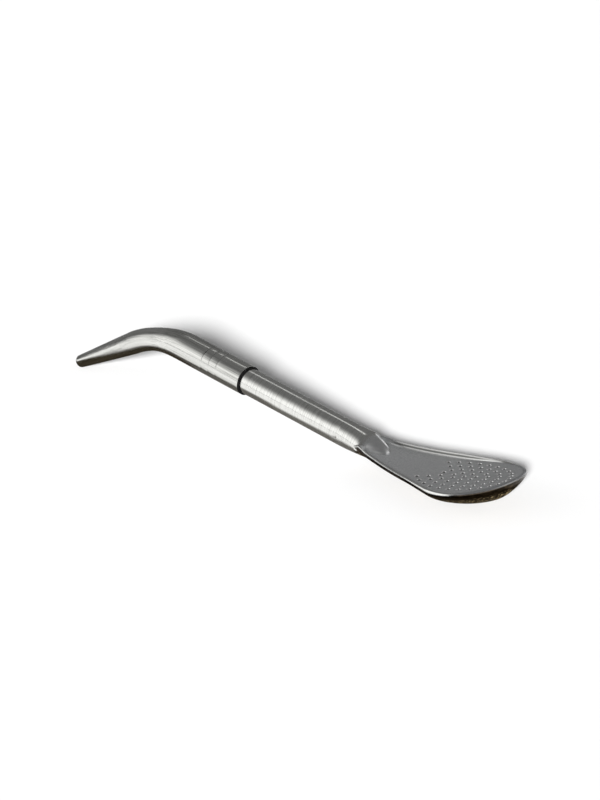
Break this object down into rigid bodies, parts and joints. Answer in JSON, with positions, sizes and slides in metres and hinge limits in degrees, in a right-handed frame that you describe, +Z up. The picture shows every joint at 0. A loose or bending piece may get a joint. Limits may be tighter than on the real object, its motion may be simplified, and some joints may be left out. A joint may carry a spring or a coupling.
{
  "type": "bombilla",
  "caption": "Spoon-ended metal drinking straw for mate tea, with a perforated filter plate and a bent pull-off mouthpiece that swivels on a black seal.",
  "frame": {"origin": "on the table, under the middle of the straw's bounding box, with the mouth and the belly of the spoon touching the table", "axes": "+X from the mouthpiece to the spoon, +Y across the spoon, +Z up out of the spoon's face"},
  "size_m": [0.1756, 0.0302, 0.0226],
  "materials": {
    "polished_tube": "polished with faint drawing lines",
    "spoon_steel": "polished",
    "plate_steel": "satin",
    "seal_rubber": "matte"
  },
  "bodies": {
    "stem": {"stem_tube": "polished_tube", "spoon_shell": "spoon_steel", "filter_plate": "plate_steel"},
    "seal": {"seal_bush": "seal_rubber"},
    "mouthpiece": {"mouthpiece_tube": "polished_tube"}
  },
  "joints": [
    {"name": "mouthpiece_swivel", "type": "hinge", "parent": "stem", "child": "seal", "pos_m": [-0.01316, 0, 0.01398], "axis": [-0.9881, 0, 0.1541], "continuous": true},
    {"name": "mouthpiece_pull", "type": "slide", "parent": "seal", "child": "mouthpiece", "axis": [-0.9881, 0, 0.1541], "range_m": [0, 0.024]}
  ]
}
